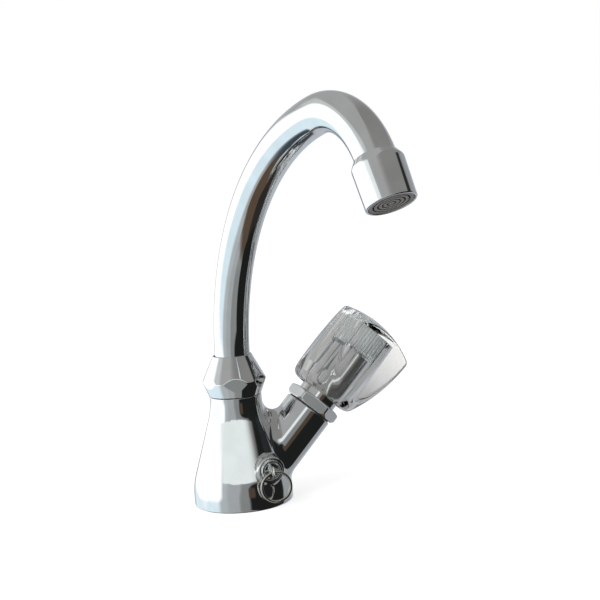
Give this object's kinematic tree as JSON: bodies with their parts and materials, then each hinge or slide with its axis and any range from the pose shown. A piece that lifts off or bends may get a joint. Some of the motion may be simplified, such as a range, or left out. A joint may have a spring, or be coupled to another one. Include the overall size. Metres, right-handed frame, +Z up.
{
  "type": "basin tap",
  "caption": "Deck-mounted chrome basin tap with a swivelling swan-neck spout, a slanted headwork with a clear three-sided knob, and a chain stay with its ring.",
  "frame": {"origin": "centre of the foot's hollow at the deck face, on the vertical axis of the neck and the spout's swivel", "axes": "+Z up along the swivel axis, +X towards the knob, and the spout at rest over -Y, 75.4 degrees clockwise from +X seen from above"},
  "size_m": [0.1306, 0.2031, 0.225],
  "materials": {
    "chrome": "mirror-bright chrome plate",
    "ring_wire": "bright nickel-plated wire, slightly warm",
    "clear_plastic": "polished clear acrylic",
    "insert_plastic": "serrated translucent plastic",
    "rubber": "moulded rubber",
    "brass": "machined brass",
    "stainless": "plain stainless steel",
    "white_plastic": "moulded acetal",
    "grey_plastic": "moulded aerator cartridge",
    "fibre": "dark vulcanised fibre"
  },
  "bodies": {
    "fixed": {"body": "chrome", "base_gasket": "rubber", "spout_nut": "chrome", "spout_slip_ring": "white_plastic", "valve_seat": "brass", "bonnet": "chrome", "bonnet_seal": "fibre", "headwork_sleeve": "chrome", "chain_stay": "chrome"},
    "spout": {"spout_tube": "chrome", "spout_ferrule": "brass", "spout_o_ring_lower": "rubber", "spout_o_ring_upper": "rubber", "outlet_housing": "chrome", "aerator_washer": "rubber", "aerator_shell": "grey_plastic", "aerator_diffuser": "grey_plastic", "aerator_screen_upper": "stainless", "aerator_screen_lower": "stainless", "aerator_grid": "grey_plastic"},
    "knob": {"knob": "clear_plastic", "knob_insert": "insert_plastic", "knob_screw": "stainless", "index_cap": "clear_plastic", "spindle": "brass", "spindle_o_ring_lower": "rubber", "spindle_o_ring_upper": "rubber", "thrust_washer": "white_plastic", "spindle_circlip": "stainless"},
    "valve": {"valve_piston": "brass", "valve_washer": "rubber", "washer_screw": "stainless"},
    "ring": {"chain_ring": "ring_wire"}
  },
  "joints": [
    {"name": "spout_swivel", "type": "hinge", "parent": "fixed", "child": "spout", "pos_m": [0, 0, 0.0772], "axis": [0, 0, 1], "continuous": true},
    {"name": "knob_turn", "type": "hinge", "parent": "fixed", "child": "knob", "pos_m": [0, 0, 0.0032], "axis": [0.6903, 0, 0.7236], "range_deg": [0, 720]},
    {"name": "valve_lift", "type": "slide", "parent": "fixed", "child": "valve", "axis": [0.6903, 0, 0.7236], "range_m": [0, 0.005]},
    {"name": "ring_swing", "type": "hinge", "parent": "fixed", "child": "ring", "pos_m": [0.0108, -0.0302, 0.0211], "axis": [-1, 0, 0], "range_deg": [-6, 180]}
  ],
  "couplings": [
    {"joint": "valve_lift", "follows": "knob_turn", "m_per_rad": 0.00039789}
  ]
}
